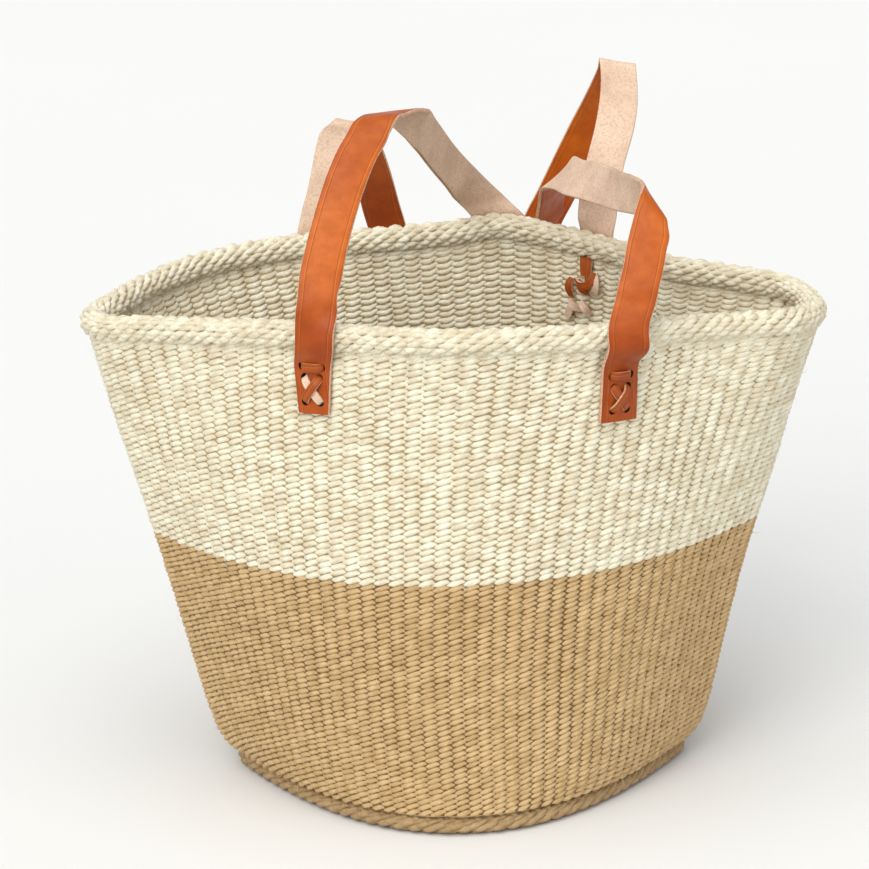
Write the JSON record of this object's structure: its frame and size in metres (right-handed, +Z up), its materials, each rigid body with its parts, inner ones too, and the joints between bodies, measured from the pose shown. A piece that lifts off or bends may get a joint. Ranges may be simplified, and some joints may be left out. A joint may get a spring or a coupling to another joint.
{
  "type": "basket bag",
  "caption": "Oval woven bag, pale above and tan below, with a rolled rim and two flat leather loops laced to its sides that swing and fold.",
  "frame": {"origin": "centre of the base's underside, on the surface it stands on", "axes": "+Z up, +X along the long side of the mouth towards the right tip, -Y towards the front"},
  "size_m": [0.4175, 0.3198, 0.3894],
  "materials": {
    "sisal_cream": "undyed twined sisal, dry and fibrous",
    "sisal_tan": "tan dyed twined sisal, dry and fibrous",
    "strap_leather": "orange tan strap leather, half gloss outside and pale rough flesh inside",
    "thong_leather": "thin orange tan thong leather"
  },
  "bodies": {
    "basket": {"base_disc": "sisal_tan", "base_ridge": "sisal_tan", "lower_wall": "sisal_tan", "upper_wall": "sisal_cream", "rim_roll": "sisal_cream", "front_left_tab": "strap_leather", "front_left_lace": "thong_leather", "front_right_tab": "strap_leather", "front_right_lace": "thong_leather", "back_left_tab": "strap_leather", "back_left_lace": "thong_leather", "back_right_tab": "strap_leather", "back_right_lace": "thong_leather"},
    "front_risers": {"front_left_riser": "strap_leather", "front_right_riser": "strap_leather"},
    "front_loop": {"front_middle": "strap_leather"},
    "back_risers": {"back_left_riser": "strap_leather", "back_right_riser": "strap_leather"},
    "back_loop": {"back_middle": "strap_leather"}
  },
  "joints": [
    {"name": "front_swing", "type": "hinge", "parent": "basket", "child": "front_risers", "pos_m": [0, -0.095, 0.3], "axis": [1, 0, 0], "range_deg": [0, 155]},
    {"name": "front_fold", "type": "hinge", "parent": "front_risers", "child": "front_loop", "pos_m": [-0.0405, -0.0465, 0.382], "axis": [0.9698, -0.1376, -0.2013], "range_deg": [0, 95]},
    {"name": "back_swing", "type": "hinge", "parent": "basket", "child": "back_risers", "pos_m": [-0.076, 0.115, 0.297], "axis": [-0.9963, 0.0861, 0], "range_deg": [0, 18]},
    {"name": "back_fold", "type": "hinge", "parent": "back_risers", "child": "back_loop", "pos_m": [-0.053, 0.13, 0.35], "axis": [0.9831, 0.0636, 0.1718], "range_deg": [0, 150]}
  ]
}
